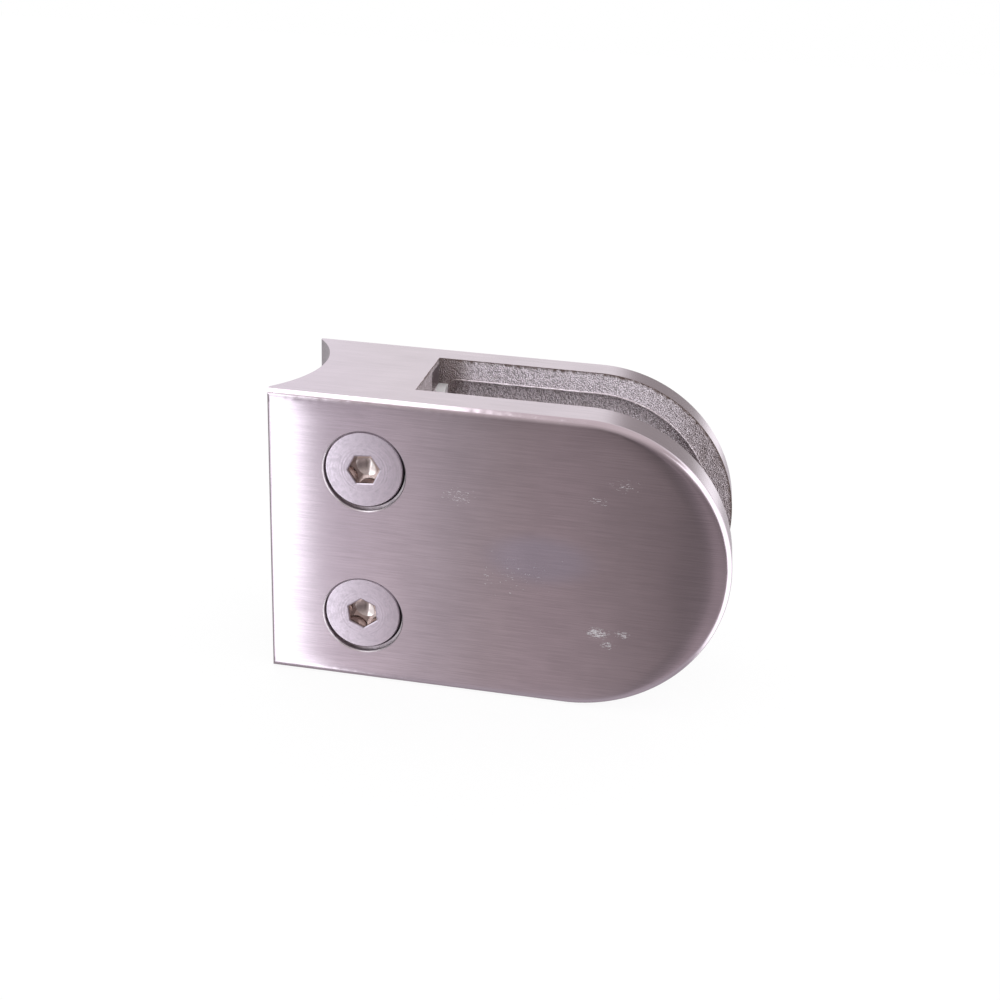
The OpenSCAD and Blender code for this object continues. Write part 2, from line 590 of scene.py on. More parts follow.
def effect(
    name: str, inputs: Sequence[str], outputs: Sequence[str]
) -> tuple[NodeTree, Tree, bpy.types.NodeOutputs, Node]:
    """Starts a shader node group with named inputs and value outputs.

    Args:
        name: The group's name.
        inputs: The inputs' names; the ones in VECTORS are vectors and the others values.
        outputs: Names of the value outputs.

    Returns:
        The group, a builder on it, its inputs' sockets and the node that its outputs go to.
    """
    group = bpy.data.node_groups.new(name, "ShaderNodeTree")
    for direction, labels in (("INPUT", inputs), ("OUTPUT", outputs)):
        for label in labels:
            kind = "NodeSocketVector" if label in VECTORS else "NodeSocketFloat"
            group.interface.new_socket(name=label, in_out=direction, socket_type=kind)
    tree = Tree(group)
    given = tree.add("NodeGroupInput").outputs
    return group, tree, given, tree.add("NodeGroupOutput")


def brush_strokes() -> NodeTree:
    """The marks of a fine belt: long strokes along U, close together along V.

    Returns:
        A group with a bump height and a tone, both from 0 to 1.
    """
    group, tree, given, leave = effect(
        "brush_strokes", ["Vector", "Fineness", "Stretch"], ["Height", "Tone"]
    )
    parts = tree.add("ShaderNodeSeparateXYZ", {0: given["Vector"]})
    across = tree.math("MULTIPLY", parts.outputs[1], given["Fineness"])
    along = tree.math(
        "MULTIPLY", parts.outputs[0], tree.math("DIVIDE", given["Fineness"], given["Stretch"])
    )
    drawn = tree.add("ShaderNodeCombineXYZ", {0: along, 1: across}).outputs[0]
    fine = tree.noise({"Vector": drawn, "Scale": 1.0, "Detail": 2.0})
    wide = tree.vector("MULTIPLY", drawn, (0.45, 0.23, 1.0)).outputs[0]
    coarse = tree.noise({"Vector": wide, "Scale": 1.0, "Detail": 2.0})
    cloud = tree.vector("MULTIPLY", drawn, (0.9, 0.02, 1.0)).outputs[0]
    slow = tree.noise({"Vector": cloud, "Scale": 1.0, "Detail": 3.0})
    both = tree.math("MULTIPLY_ADD", coarse, 0.25, fine)
    height = tree.math("MULTIPLY", both, 1 / 1.25)
    tree.feed(leave, "Height", height)
    tone = tree.math("MULTIPLY_ADD", slow, 0.35, tree.math("MULTIPLY", height, 0.65))
    tree.feed(leave, "Tone", tone)
    return group


def cast_grain() -> NodeTree:
    """The skin that a sand or shell mould leaves: small lumps with pits between them.

    Returns:
        A group with a bump height and a tone, both from 0 to 1.
    """
    group, tree, given, leave = effect("cast_grain", ["Vector", "Grain"], ["Height", "Tone"])
    at = given["Vector"]
    fine = tree.math("MULTIPLY", given["Grain"], 2.3)
    sand = tree.noise({"Vector": at, "Scale": fine, "Detail": 1.5})
    wide = tree.math("MULTIPLY", tree.noise({"Vector": at, "Scale": given["Grain"]}), 0.35)
    height = tree.math("MULTIPLY_ADD", sand, 0.65, wide)
    tree.feed(leave, "Height", height)
    tree.feed(leave, "Tone", tree.step(height, 0.38, 0.58))
    return group


def handling_marks() -> NodeTree:
    """Small scuffs and specks of dust gathered round one place.

    Returns:
        A group with a mask from 0 to 1.
    """
    group, tree, given, leave = effect(
        "handling_marks", ["Vector", "Centre", "Reach", "Rarity"], ["Mask"]
    )
    offset = tree.vector("SUBTRACT", given["Vector"], given["Centre"]).outputs[0]
    drawn = tree.vector("MULTIPLY", offset, (0.65, 1.0, 1.3)).outputs[0]
    away = tree.vector("LENGTH", drawn).outputs["Value"]
    share = tree.math("DIVIDE", away, given["Reach"])
    near = tree.step(share, 1.0, 0.1)
    drawn = tree.vector("MULTIPLY", given["Vector"], (1300.0, 0.0, 5200.0)).outputs[0]
    bits = tree.noise({"Vector": drawn, "Scale": 1.0, "Detail": 2.5})
    dense = tree.math("MULTIPLY_ADD", near, 0.2, bits)
    limit = tree.math("SUBTRACT", dense, given["Rarity"])
    marks = tree.step(limit, 0.0, 0.07)
    edge = tree.step(share, 1.0, 0.4)
    tree.feed(leave, "Mask", tree.math("MULTIPLY", edge, marks))
    return group


@dataclass(frozen=True)
class Effects:
    """The shader effects that the finishes share."""

    strokes: NodeTree
    grain: NodeTree
    marks: NodeTree

    @classmethod
    def built(cls) -> "Effects":
        """Builds each effect once."""
        return cls(strokes=brush_strokes(), grain=cast_grain(), marks=handling_marks())


def scaled(colour: Colour, share: float) -> Colour:
    """A colour made lighter or darker."""
    return tuple(min(part * share, 1.0) for part in colour)


class Steel:
    """What the steel finishes share; each has a name, a colour, a roughness and a contrast."""

    def started(self) -> tuple[Material, Tree, Node]:
        """Starts the finish.

        Returns:
            The metal material, a builder on its tree and its Principled BSDF.
        """
        material = bpy.data.materials.new(self.name)
        material.use_nodes = True
        shader = material.node_tree.nodes["Principled BSDF"]
        shader.inputs["Metallic"].default_value = 1.0
        return material, Tree(material.node_tree), shader

    def two_tone(self, tree: Tree, share: Socket) -> Socket:
        """The colour, wavering between a darker and a lighter tone."""
        tones = (scaled(self.colour, 1 + sign * self.contrast) for sign in (-1, 1))
        return tree.blend(share, *tones)

    def wavering_roughness(
        self, tree: Tree, tone: Socket, low: float, high: float, spread: float
    ) -> Socket:
        """The roughness, lower where the tone is light.

        Args:
            tree: The builder on the material's tree.
            tone: The tone's socket.
            low: The tone up to which it is roughest.
            high: The tone from which it is smoothest.
            spread: How far it strays either way, as a share.

        Returns:
            The output socket.
        """
        rough, smooth = self.roughness * (1 + spread), self.roughness * (1 - spread)
        return tree.step(tone, low, high, rough, smooth)

    def bump(
        self, tree: Tree, shader: Node, height: Socket,
        strength: float, distance: float = FINE_RELIEF,
    ) -> None:
        """Lets a height shape the surface.

        Args:
            tree: The builder on the material's tree.
            shader: The Principled BSDF.
            height: The height's socket, from 0 to 1.
            strength: How much of it shows.
            distance: How deep it goes, in metres.
        """
        values = {"Strength": strength, "Distance": distance, "Height": height}
        tree.feed(shader, "Normal", tree.add("ShaderNodeBump", values).outputs[0])


@dataclass(frozen=True)
class Scuff:
    """A patch of small scuffs on a brushed face, in millimetres."""

    x: float
    z: float
    reach: float
    rarity: float
    strength: float
    colour: Colour = (0.97, 0.95, 0.97)


@dataclass(frozen=True)
class BrushedSteel(Steel):
    """Stainless steel finished with a fine belt."""

    name: str
    colour: Colour
    roughness: float
    anisotropy: float
    fineness: float = 6.0
    stretch: float = 90.0
    depth: float = 0.03
    contrast: float = 0.11
    scuffs: tuple[Scuff, ...] = ()
    scuff_y: float = 0.0

    def material(self, effects: Effects) -> Material:
        """Builds the finish.

        Args:
            effects: The shared shader effects.

        Returns:
            The material.
        """
        made, tree, shader = self.started()
        run = tree.add("ShaderNodeUVMap", uv_map=BRUSH_MAP).outputs[0]
        strokes = tree.use(
            effects.strokes, Vector=run, Fineness=self.fineness, Stretch=self.stretch
        )
        colour = self.two_tone(tree, tree.step(strokes["Tone"], 0.3, 0.7))
        rough = self.wavering_roughness(tree, strokes["Tone"], 0.3, 0.7, 0.08)
        place = tree.place()
        for scuff in self.scuffs:
            centre = (scuff.x * MM, self.scuff_y * MM, scuff.z * MM)
            marks = tree.use(
                effects.marks, Vector=place, Centre=centre, Reach=scuff.reach * MM,
                Rarity=scuff.rarity,
            )
            shown = tree.math("MULTIPLY", marks["Mask"], scuff.strength)
            colour = tree.blend(shown, colour, scuff.colour)
            rough = tree.math("MULTIPLY_ADD", shown, 0.6, rough)
        lay = tree.add("ShaderNodeTangent", direction_type="UV_MAP", uv_map=BRUSH_MAP)
        for label, value in (
            ("Base Color", colour), ("Roughness", rough), ("Anisotropic", self.anisotropy),
            ("Anisotropic Rotation", 0.25), ("Tangent", lay.outputs[0]),
        ):
            tree.feed(shader, label, value)
        self.bump(tree, shader, strokes["Height"], self.depth)
        return made


@dataclass(frozen=True)
class CastSteel(Steel):
    """Steel as it comes from the mould, its colour blended towards painted shade by a vertex
    attribute.
    """

    name: str
    colour: Colour
    roughness: float = 0.6
    grain: float = 2000.0
    relief: float = 0.0009
    contrast: float = 0.28
    # Colour of the painted shade, a dark brown.
    painted_shade: Colour = (0.25, 0.195, 0.18)

    def material(self, effects: Effects) -> Material:
        """Builds the finish.

        Args:
            effects: The shared shader effects.

        Returns:
            The material.
        """
        made, tree, shader = self.started()
        grain = tree.use(effects.grain, Vector=tree.place(), Grain=self.grain)
        # The attribute's painted shade darkens the grain's tones towards the shade colour.
        shade = tree.add("ShaderNodeAttribute", attribute_name=PAINTED_CAST_SHADE).outputs["Fac"]
        colour = tree.blend(shade, self.two_tone(tree, grain["Tone"]), self.painted_shade)
        tree.feed(shader, "Base Color", colour)
        tree.feed(shader, "Roughness", self.roughness)
        self.bump(tree, shader, grain["Height"], 1.0, self.relief)
        return made


@dataclass(frozen=True)
class PlainSteel(Steel):
    """Steel left as it was milled, drilled or blasted: even, with a little mottling."""

    name: str
    colour: Colour
    roughness: float
    grain: float = 900.0
    depth: float = 0.05
    contrast: float = 0.06
    # Set to 0 only for the pad stops, whose white diffuse finish is a painted highlight.
    metallic: float = 1.0

    def material(self, effects: Effects) -> Material:
        """Builds the finish.

        Args:
            effects: The shared shader effects.

        Returns:
            The material.
        """
        made, tree, shader = self.started()
        grain = tree.use(effects.grain, Vector=tree.place(), Grain=self.grain)
        tone = grain["Tone"]
        tree.feed(shader, "Base Color", self.two_tone(tree, tone))
        tree.feed(shader, "Metallic", self.metallic)
        tree.feed(shader, "Roughness", self.wavering_roughness(tree, tone, 0.0, 1.0, 0.1))
        self.bump(tree, shader, grain["Height"], self.depth)
        return made


@dataclass(frozen=True)
class TurnedSteel(Steel):
    """Steel faced on a lathe: faint rings round the screw's axis."""

    name: str
    colour: Colour
    roughness: float
    centre: Point
    ring_spacing: float = 0.22
    grain: float = 700.0
    depth: float = 0.03
    contrast: float = 0.13

    def material(self, effects: Effects) -> Material:
        """Builds the finish.

        Args:
            effects: The shared shader effects.

        Returns:
            The material.
        """
        made, tree, shader = self.started()
        place = tree.place()
        centre = tuple(-part * MM for part in self.centre)
        mapping = tree.add("ShaderNodeMapping", {"Vector": place, "Location": centre})
        centred = mapping.outputs[0]
        flat = tree.vector("MULTIPLY", centred, (1.0, 0.0, 1.0)).outputs[0]
        radius = tree.vector("LENGTH", flat).outputs["Value"]
        ring = tree.math("DIVIDE", radius, self.ring_spacing * MM)
        values = {"W": ring, "Scale": 1.0, "Detail": 2.0}
        rings = tree.noise(values, noise_dimensions="1D")
        grain = tree.use(effects.grain, Vector=place, Grain=self.grain)
        tone = tree.math("MULTIPLY_ADD", grain["Tone"], 0.45, tree.math("MULTIPLY", rings, 0.55))
        tree.feed(shader, "Base Color", self.two_tone(tree, tone))
        tree.feed(shader, "Roughness", self.wavering_roughness(tree, tone, 0.2, 0.8, 0.08))
        self.bump(tree, shader, rings, self.depth)
        return made


# ------------------------------------------------------------------------------ jaws


@dataclass(frozen=True)
class JawSizes:
    """Sizes that both jaws share, in millimetres."""

    post_d: float = 42.4
    reach: float = 63.4
    edge_r: float = 1.0
    face_fall: float = 0.3
    ear_r: float = 0.5
    rim_w: float = 3.4
    seat_depth: float = 1.2
    seat_gap: float = 1.5
    seat_corner_r: float = 1.5
    seat_fillet: float = 0.35
    lip_bevel: float = 0.3
    lip_spare: float = 0.05
    lip_burr: float = 0.14
    lip_burr_h: float = 0.18
    screw_from_slot: float = 6.05
    nose_steps: int = 288
    edge_steps: int = 7
    cast_pitch: float = 0.3
    cast_lift: float = 0.05
    cast_lump: float = 0.95
    cast_layers: tuple[Pair, ...] = ((1.0, 1.0), (0.55, 2.1))
    polish_rings: tuple[float, ...] = (0.35, 0.45, 0.55, 0.65, 0.8)
    polish_reach: float = 3.6
    polish_drop: float = 0.10
    polish_edge: float = 1.35
    polish_waver: float = 0.032
    polish_layers: tuple[Pair, ...] = ((0.6, 1.1), (0.4, 2.7))
    strip: float = 0.45
    blank_spare: float = 5.0
    over: float = 1.0


@dataclass(frozen=True)
class PaintedShade:
    """Painted shade on the cast skin, from 0 to 1, and over which widths in millimetres: a dark
    line just inside the outline, shade in the slot's end corner and on its end wall, shade towards
    the nose and below the seat's step; only the lip's patches are random tone.

    The shares in pairs are the darkening between patches and what patches add to it.
    """

    edge_shadow_w: float = 0.3
    edge_shadow_fade: float = 0.15
    corner_w: float = 5.6
    corner_turn: float = 1.65
    corner_share: Pair = (1.035, 0.45)
    corner_most: float = 0.8
    end_from: float = 0.99
    end_share: Pair = (0.35, 0.3)
    nose_from: float = 8.0
    nose_w: float = 20.0
    nose_share: Pair = (0.25, 0.4)
    lip_share: float = 0.6
    step_w: float = 0.7
    step_share: Pair = (0.3, 0.45)


@dataclass
class Jaw:
    """What the casting and the cover have in common: a round-nosed slab and its dressing."""

    outline: Outline
    sizes: JawSizes
    # Painted shade on the cast skin.
    painted_shade: PaintedShade

    @property
    def slot_x(self) -> float:
        """Where the slot ends."""
        return self.outline.screw_x + self.sizes.screw_from_slot

    @property
    def saddle_x(self) -> float:
        """The deepest line of the saddle."""
        return self.outline.nose_x - self.sizes.reach

    @property
    def post_x(self) -> float:
        """The post's axis."""
        return self.saddle_x - self.sizes.post_d / 2

    def from_post(self, point: Vector) -> float:
        """Distance from a point to the post's surface, positive outside it."""
        return math.hypot(point.x - self.post_x, point.y) - self.sizes.post_d / 2

    def d_plate(self, start_x: float, radius: float, y: float, rise: float) -> BMesh:
        """A round-nosed plate: a half disc drawn out to a straight end, then thickened.

        Args:
            start_x: Where its straight end lies.
            radius: Radius of its nose.
            y: Where its first side lies.
            rise: How far it reaches from there along Y.

        Returns:
            The closed mesh.
        """
        centre = (self.outline.nose_centre_x, y, self.outline.mid_z)
        bm = bmesh.new()
        bmesh.ops.create_circle(
            bm, cap_ends=True, segments=self.sizes.nose_steps, radius=radius,
            matrix=Matrix.Translation(centre) @ Matrix.Rotation(math.radians(90), 4, "X"),
        )
        bmesh.ops.bisect_plane(
            bm, geom=everything(bm), dist=CUT, plane_co=centre, plane_no=(-1, 0, 0),
            clear_outer=True,
        )
        straight = edges_at(bm, x=centre[0])
        ends = of_kind(bmesh.ops.extrude_edge_only(bm, edges=straight), bmesh.types.BMVert)
        bmesh.ops.translate(bm, vec=(start_x - centre[0], 0, 0), verts=ends)
        bmesh.ops.dissolve_edges(bm, edges=straight, use_verts=False)
        raised = bmesh.ops.extrude_face_region(bm, geom=bm.faces[:])
        bmesh.ops.translate(bm, vec=(0, rise, 0), verts=of_kind(raised, bmesh.types.BMVert))
        bmesh.ops.recalc_face_normals(bm, faces=bm.faces)
        return bm

    def slab(self, outer_y: float, inner_y: float) -> Body:
        """The jaw's blank, its long outer edges rounded.

        Args:
            outer_y: Where its outer side lies.
            inner_y: Where its inner side lies.

        Returns:
            The blank.
        """
        line, sizes = self.outline, self.sizes
        start_x = line.tip_x - sizes.blank_spare
        bm = self.d_plate(start_x, line.nose_r, outer_y, inner_y - outer_y)
        long_edges = [edge for edge in edges_at(bm, y=outer_y) if not lies_at(edge, x=start_x)]
        rounded(bm, long_edges, sizes.edge_r, sizes.edge_steps)
        outer = [face for face in bm.faces if lies_at(face, y=outer_y)]
        for width in sizes.polish_rings:
            bmesh.ops.inset_region(bm, faces=outer, thickness=width, use_even_offset=True)
        count = int((line.nose_centre_x - line.tip_x) / sizes.strip)
        for place in range(count + 1):
            bmesh.ops.bisect_plane(
                bm, geom=everything(bm), dist=CUT,
                plane_co=(line.nose_centre_x - place * sizes.strip, 0, 0), plane_no=(1, 0, 0),
            )
        self.polish(bm, outer_y)
        return solid("blank", bm)

    def polish(self, bm: BMesh, outer_y: float) -> None:
        """Lets the outer side fall off towards its rounded edges, as a polishing belt does.

        Args:
            bm: The blank, cut into rings and strips.
            outer_y: Where its outer side lies.
        """
        sizes = self.sizes
        side = math.copysign(1.0, outer_y)
        for vert in bm.verts:
            if abs(vert.co.y - outer_y) > sizes.edge_r - ON:
                continue
            inset = self.outline.inset(vert.co)
            share = max(0.0, 1 - inset / sizes.polish_reach)
            waver = 0.5 + lumps(vert.co, sizes.polish_layers)
            edge = clamped(sizes.polish_edge - inset / sizes.edge_r)
            fall = sizes.polish_drop * share ** 2 + sizes.polish_waver * waver * edge
            vert.co.y -= side * max(fall, 0.0)

    def ear_limit(self, outer_y: float, inner_y: float) -> Body:
        """A block with the upright edge at the ears rounded, to trim the blank with.

        Args:
            outer_y: Where the jaw's outer side lies.
            inner_y: Where its inner side lies.

        Returns:
            The block.
        """
        line, sizes = self.outline, self.sizes
        low_y, high_y = sorted((outer_y, inner_y))
        bm = block(
            (line.tip_x, low_y, -sizes.over),
            (line.nose_x + sizes.over, high_y, line.height + sizes.over),
        )
        rounded(bm, edges_at(bm, x=line.tip_x, y=outer_y), sizes.ear_r, segments=5)
        return solid("ear_limit", bm)

    def post(self) -> Body:
        """The post that the saddle is cut to."""
        top = self.outline.height + self.sizes.over
        start, end = (self.post_x, 0, -self.sizes.over), (self.post_x, 0, top)
        return solid("post", bar(start, end, self.sizes.post_d / 2, steps=512))

    def seat(self, face_y: float, side: Side) -> Body:
        """The tool that sinks a pad seat into a jaw.

        Args:
            face_y: Where the jaw's inner side lies.
            side: The jaw.

        Returns:
            The tool.
        """
        sizes = self.sizes
        floor_y = face_y + side.value * sizes.seat_depth
        rise = -side.value * (sizes.seat_depth + sizes.over)
        radius = self.outline.nose_r - sizes.rim_w
        start_x = self.slot_x + sizes.seat_gap
        bm = self.d_plate(start_x, radius, floor_y, rise)
        corners = [
            edge for edge in edges_at(bm, x=start_x)
            if abs(edge.verts[0].co.z - edge.verts[1].co.z) < ON
        ]
        rounded(bm, corners, sizes.seat_corner_r, segments=8)
        rounded(bm, edges_at(bm, y=floor_y), sizes.seat_fillet, segments=3)
        return solid("seat", bm)

    def soften_seat_lip(self, bm: BMesh, face_y: float) -> None:
        """Rounds the edge where a pad seat drops from the jaw's inner side.

        Args:
            bm: The jaw's mesh, its zones marked.
            face_y: Where that inner side lies.
        """
        inside = self.sizes.rim_w - self.sizes.lip_spare
        start_x = self.slot_x + self.sizes.seat_gap + self.sizes.lip_bevel
        lip = [
            edge for edge in edges_at(bm, y=face_y)
            if all(v.co.x > start_x and self.outline.inset(v.co) > inside for v in edge.verts)
            and len(edge.link_faces) == 2 and edge.calc_face_angle(0.0) > SHARP
        ]
        for face in rounded(bm, lip, self.sizes.lip_bevel, segments=3)["faces"]:
            face.material_index = Zone.LIP.value
        bm.normal_update()

    def grid_cast_faces(self, bm: BMesh) -> None:
        """Cuts the cast faces into a fine grid, so that their skin can be shaped.

        Args:
            bm: The jaw's mesh, its zones marked.
        """
        for axis in range(3):
            cast = [face for face in bm.faces if face.material_index in ROUGH]
            starts = {face: min(v.co[axis] for v in face.verts) for face in cast}
            waiting = sorted(cast, key=starts.get, reverse=True)
            low = starts[waiting[-1]]
            high = max(v.co[axis] for face in cast for v in face.verts)
            count = int((high - low) / self.sizes.cast_pitch)
            normal = Vector([float(place == axis) for place in range(3)])
            active = []
            for place in range(1, count + 1):
                at = low + (high - low) * place / (count + 1)
                while waiting and starts[waiting[-1]] < at:
                    active.append(waiting.pop())
                active = [face for face in active if max(v.co[axis] for v in face.verts) > at]
                active = of_kind(bmesh.ops.bisect_plane(
                    bm, geom=parts_of(active), dist=GRID_CUT, plane_co=normal * at,
                    plane_no=normal,
                ), Face)

    def roughen(self, bm: BMesh, face_y: float, side: Side) -> None:
        """Lifts and sinks the cast faces as a mould leaves them and paints shade into their
        hollows.

        Args:
            bm: The jaw's mesh, its cast faces already fine.
            face_y: Where the jaw's inner side lies.
            side: The jaw.
        """
        bm.normal_update()
        sizes = self.sizes
        shade = bm.verts.layers.float.new(PAINTED_CAST_SHADE)
        lifts = []
        for vert in bm.verts:
            cast = [f for f in vert.link_faces if f.material_index in ROUGH]
            if not cast:
                continue
            depth = (vert.co.y - face_y) * side.value
            vert[shade] = self.painted_shade_of(vert.co, depth)
            out = sum((face.normal for face in cast), Vector()).normalized()
            others = [f for f in vert.link_faces if f.material_index not in ROUGH]
            if any(abs(face.normal.dot(out)) > SLANTED for face in others):
                continue
            at = vert.co / sizes.cast_lump
            lift = out * lumps(at, sizes.cast_layers) * sizes.cast_lift
            on_lip = any(face.material_index == Zone.LIP.value for face in cast)
            if on_lip and NEAR < depth < sizes.lip_burr_h:
                burr = sizes.lip_burr * (1 + 0.6 * noise.noise(at * 1.3))
                lift = Vector((0, -side.value * (burr + depth), 0))
            lifts.append((vert, lift))
        for vert, lift in lifts:
            vert.co += lift

    def painted_shade_of(self, at: Vector, depth: float) -> float:
        """How much painted shade a spot of the cast skin gets: a dark line at the outline, shade
        in the slot's end corner, towards the nose and in the seat, random patches on the lip.

        Args:
            at: The spot.
            depth: How far it lies below the jaw's inner side.

        Returns:
            The darkening from 0 to 1.
        """
        painted_shade, sizes = self.painted_shade, self.sizes
        inset = self.outline.inset(at)
        patchy = 0.5 + 0.5 * noise.noise(at * 0.9)

        def mottled(share: Pair) -> float:
            """A darkening that is stronger in patches."""
            return share[0] + share[1] * patchy

        # Painted shadow: a ragged dark line just inside the outline.
        burr = painted_shade.edge_shadow_w * (1 + noise.noise(at * 1.7)) - inset
        dark = [clamped(burr / painted_shade.edge_shadow_fade + 0.5)]
        # Painted shade in the corner at the slot's end, on the jaw's inner side and on the end
        # wall.
        corner = clamped(1 - (at.x - self.slot_x) / painted_shade.corner_w)
        if depth > -NEAR:
            corner_shade = mottled(painted_shade.corner_share) * corner * (painted_shade.corner_turn - corner)
            dark.append(min(corner_shade, painted_shade.corner_most))
        elif corner > painted_shade.end_from:
            dark.append(mottled(painted_shade.end_share))
        if NEAR < depth < sizes.lip_bevel:
            dark.append(painted_shade.lip_share * noise.noise(at * 0.8))
        else:
            # Painted shade that deepens towards the nose, standing in for light falling off there.
            nose = clamped((at.x - painted_shade.nose_from) / painted_shade.nose_w)
            dark.append(nose ** 3 * mottled(painted_shade.nose_share))
        # Painted shade on the seat floor, darkest just below the seat's step.
        if depth > sizes.lip_bevel and inset > sizes.rim_w - NEAR:
            least, more = painted_shade.step_share
            dark.append(least + more * max(0.0, 1 - (inset - sizes.rim_w) / painted_shade.step_w))
        return max(dark)

    def lay_brush_runs(self, bm: BMesh) -> None:
        """Lays a map whose U runs along the brush strokes on every face.

        Args:
            bm: The jaw's mesh, its zones marked.
        """
        runs = bm.loops.layers.uv.new(BRUSH_MAP)
        for face in bm.faces:
            on_rim = face.material_index == Zone.RIM.value
            for loop in face.loops:
                at = loop.vert.co
                around = (self.outline.run(at), at.y + self.outline.inset(at))
                loop[runs].uv = around if on_rim else (at.x, at.z)

    def dress(self, bm: BMesh, face_y: float, side: Side) -> None:
        """Marks the zones, softens the seat's lip, gives the cast skin its lumps and its painted
        shade, and lays the map.

        Args:
            bm: The jaw's worked mesh.
            face_y: Where the jaw's inner side lies.
            side: The jaw.
        """
        for face in bm.faces:
            face.material_index = self.zone_of(face).value
        self.soften_seat_lip(bm, face_y)
        self.grid_cast_faces(bm)
        self.roughen(bm, face_y, side)
        self.lay_brush_runs(bm)

    def is_outer(self, face: Face) -> bool:
        """Tells whether a face belongs to the outer wall or its rounded edges.

        Args:
            face: A face of the jaw.

        Returns:
            True on the wall, the rounded edges and the ears' ends.
        """
        at = face.calc_center_median()
        if at.x < self.outline.tip_x + self.sizes.ear_r + NEAR and face.normal.x < -TURNED_OFF:
            return self.from_post(at) > NEAR
        close = self.outline.inset(at) < self.sizes.edge_r + NEAR
        return close and face.normal.dot(self.outline.outward(at)) > NEAR

    def on_post(self, face: Face) -> bool:
        """Tells whether a face belongs to the saddle."""
        near = abs(self.from_post(face.calc_center_median())) < NEAR
        return near and abs(face.normal.z) < TURNED_OFF and face.normal.x < -0.5


@dataclass
class ClampCasting(Jaw):
    """The cast body: block, saddle and back jaw."""

    back_t: float = 5.5
    stop_inset: float = 4.1
    stop_h: float = 6.0
    stop_w: float = 3.7
    stop_r: float = 2.9
    pocket_lip: float = 0.9
    pocket_w: float = 5.1
    pocket_depth: float = 1.5
    tap_r: float = 3.05
    tap_crest: float = 3.3
    tap_depth: float = 16.8
    tap_pitch: float = 1.0
    tap_overlap: float = 0.1
    tap_runout: float = 1.5
    sleeve_r: float = 4.0
    drill_angle: float = 59.0
    bolt_r: float = 4.25
    bolt_pocket_r: float = 6.75
    bolt_pocket_depth: float = 6.0

    @property
    def jaw_y(self) -> float:
        """The inner side of the back jaw."""
        return self.outline.back_y - self.back_t

    def slot(self) -> Body:
        """The tool that opens the slot."""
        line, over = self.outline, self.sizes.over
        low = (self.slot_x, line.part_y - over, -over)
        return solid("slot", block(low, (line.nose_x + over, self.jaw_y, line.height + over)))

    def both_sides(self, name: str, low: Point, high: Point, rounding: float = 0) -> list[Body]:
        """A block near the lower flat side and its mirror image near the upper one.

        Args:
            name: The blocks' name.
            low: The lower block's lowest corner.
            high: Its highest corner.
            rounding: Radius of the blocks' free edge on the side of the opening.

        Returns:
            The two blocks.
        """
        top = self.outline.height
        made = []
        for mirrored in (False, True):
            bm = block(low, high)
            if rounding:
                rounded(bm, edges_at(bm, y=low[1], z=low[2]), rounding, segments=6)
            if mirrored:
                bmesh.ops.scale(bm, vec=(1, 1, -1), verts=bm.verts)
                bmesh.ops.translate(bm, vec=(0, 0, top), verts=bm.verts)
            made.append(solid(name, bm))
        return made

    def pad_stops(self) -> list[Body]:
        """The two blocks that stop the back pad short of the end of the slot."""
        over = self.sizes.over
        low = (self.slot_x - over, self.jaw_y - self.stop_w, self.stop_inset)
        high = (self.slot_x + self.sizes.seat_gap, self.jaw_y + over,
                self.stop_inset + self.stop_h)
        return self.both_sides("pad_stop", low, high, self.stop_r)

    def corner_pockets(self) -> list[Body]:
        """The tools that sink a pocket beside each pad stop."""
        low = (self.slot_x - self.pocket_depth, self.jaw_y - self.pocket_w, self.pocket_lip)
        high = (self.slot_x + self.sizes.over, self.jaw_y, self.stop_inset)
        return self.both_sides("corner_pocket", low, high)

    def tapped_holes(self) -> list[Body]:
        """The tools that drill and tap the block for the two screws."""
        line, over = self.outline, self.sizes.over
        end = self.tap_runout - self.tap_depth
        tools = []
        for z in line.screw_z:
            place = into_clamp(line.screw_x, line.part_y, z)
            point = self.tap_depth + self.tap_r / math.tan(math.radians(self.drill_angle))
            drill = turned([
                (0, over), (self.tap_r, over), (self.tap_r, -self.tap_depth), (0, -point),
            ])
            root = self.tap_r - self.tap_overlap
            tap = solid("tap", thread(self.tap_crest, root, self.tap_pitch, over, end))
            sleeve = solid("sleeve", bar((0, 0, over), (0, 0, end), self.sleeve_r))
            cleaned = worked(tap, [("INTERSECT", sleeve)])
            tools += [solid("drill", moved(drill, place)), solid("tap", moved(cleaned, place))]
        return tools

    def bolt_hole(self) -> list[Body]:
        """The tools for the post bolt's hole and the pocket for its head."""
        line = self.outline
        pocket_x = self.slot_x - self.bolt_pocket_depth
        mouth_x = self.slot_x + self.sizes.seat_gap + self.sizes.over
        hole = bar((line.tip_x, 0, line.mid_z), (mouth_x, 0, line.mid_z), self.bolt_r)
        pocket = bar((pocket_x, 0, line.mid_z), (mouth_x, 0, line.mid_z), self.bolt_pocket_r)
        return [solid("bolt_hole", hole), solid("bolt_pocket", pocket)]

    def zone_of(self, face: Face) -> Zone:
        """Tells which finish a face of the casting gets.

        Args:
            face: The face.

        Returns:
            Its zone.
        """
        line, sizes = self.outline, self.sizes
        at, out = face.calc_center_median(), face.normal
        on_face = at.y > line.back_y - sizes.face_fall and line.inset(at) > sizes.edge_r
        if out.y > FACING and on_face:
            return Zone.FACE
        if self.on_post(face):
            return Zone.SADDLE
        in_block = at.x < self.slot_x - NEAR
        if in_block and math.hypot(at.y, at.z - line.mid_z) < self.bolt_pocket_r + NEAR:
            return Zone.MILLED
        if self.is_outer(face):
            return Zone.RIM
        in_tap = line.from_screw(at) < self.tap_crest + NEAR
        if in_block and (in_tap or out.y < -FLAT):
            return Zone.MILLED
